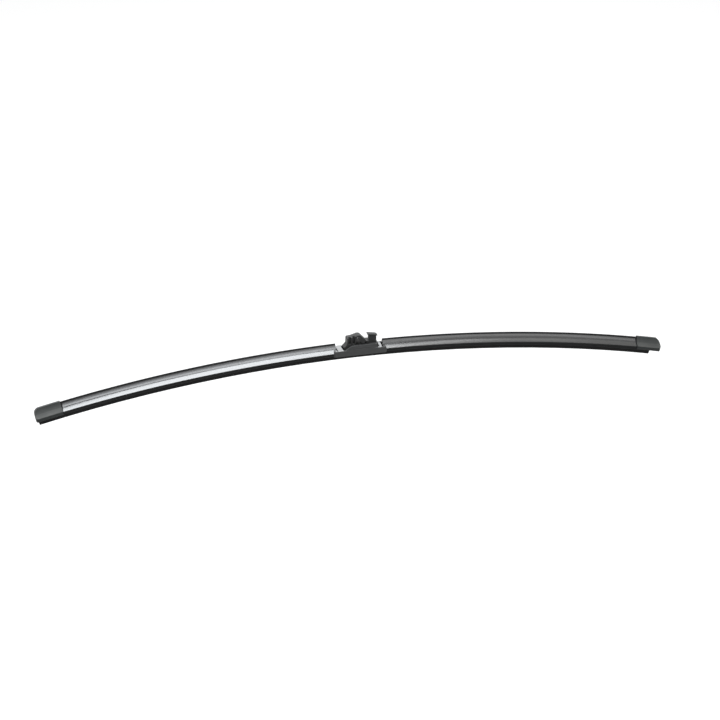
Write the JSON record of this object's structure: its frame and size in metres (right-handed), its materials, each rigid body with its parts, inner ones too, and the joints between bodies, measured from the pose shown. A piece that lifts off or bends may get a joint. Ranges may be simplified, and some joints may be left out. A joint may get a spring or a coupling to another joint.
{
  "type": "wiper blade",
  "caption": "Flat beam windscreen wiper blade: arched spring rails carry a rubber lip and a hollow spoiler, with end caps and a rocking clip-on arm adapter.",
  "frame": {"origin": "centre of the arm pin's bore in the arm adapter", "axes": "+X along the blade to the end whose rubber stops further from the cap's end, +Y across the blade to the steep back of the spoiler, +Z away from the glass"},
  "size_m": [0.6998, 0.016, 0.0647],
  "materials": {
    "rubber_black": "matt wiping rubber",
    "rail_steel": "bare spring steel",
    "bracket_steel": "dark coated sheet steel",
    "rivet_steel": "plated steel",
    "spoiler_black": "smooth extruded elastomer with a soft gloss",
    "cap_grey": "satin moulded plastic",
    "cover_grey": "satin moulded plastic",
    "adapter_grey": "satin moulded plastic"
  },
  "bodies": {
    "adapter": {"arm_adapter": "adapter_grey"},
    "blade": {"wiping_rubber": "rubber_black", "spring_rail_front": "rail_steel", "spring_rail_rear": "rail_steel", "spoiler_left": "spoiler_black", "spoiler_right": "spoiler_black", "end_cap_left": "cap_grey", "end_cap_right": "cap_grey", "base_bracket": "bracket_steel", "base_cover": "cover_grey", "pivot_rivet": "rivet_steel", "pivot_sleeve": "rivet_steel"}
  },
  "joints": [
    {"name": "blade_rock", "type": "hinge", "parent": "adapter", "child": "blade", "pos_m": [0.0013, 0, -0.0088], "axis": [0, 1, 0], "range_deg": [-8, 8]}
  ]
}
